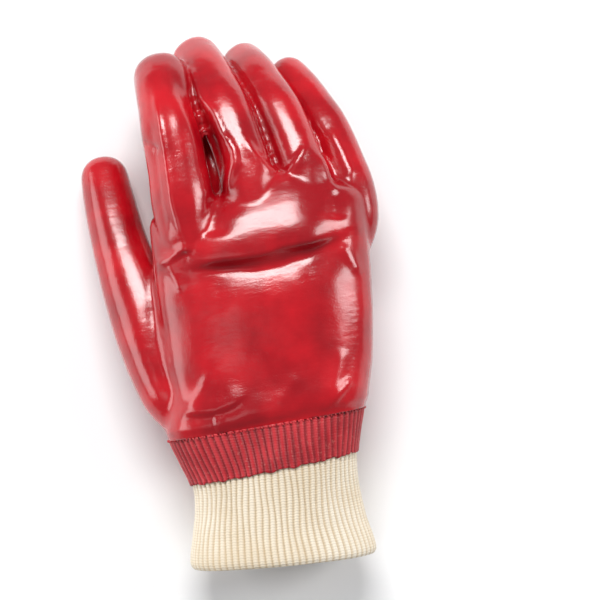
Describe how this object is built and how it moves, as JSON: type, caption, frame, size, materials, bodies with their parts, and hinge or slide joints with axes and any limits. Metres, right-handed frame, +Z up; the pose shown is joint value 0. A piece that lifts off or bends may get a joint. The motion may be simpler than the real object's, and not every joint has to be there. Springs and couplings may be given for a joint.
{
  "type": "pvc coated work glove",
  "caption": "Right-hand work glove lying palm down: a hollow glossy red PVC dipped hand with curled fingers and thumb, sewn to a cream rib knit wrist that the dip partly covers.",
  "frame": {"origin": "Centre of the footprint, on the surface that the glove lies on.", "axes": "+Y points from the hem to the fingertips, +Z up out of the back of the hand, +X from the thumb side to the little finger side."},
  "size_m": [0.1368, 0.2524, 0.0658],
  "materials": {
    "red_pvc": "glossy, faintly wrinkled PVC coat over jersey",
    "red_pvc_on_rib": "satin PVC film that follows the ribs",
    "cream_rib_knit": "unbleached cotton rib knit"
  },
  "bodies": {
    "root": {"hand_shell": "red_pvc", "dipped_rib_band": "red_pvc_on_rib", "knit_wrist": "cream_rib_knit"}
  },
  "joints": []
}
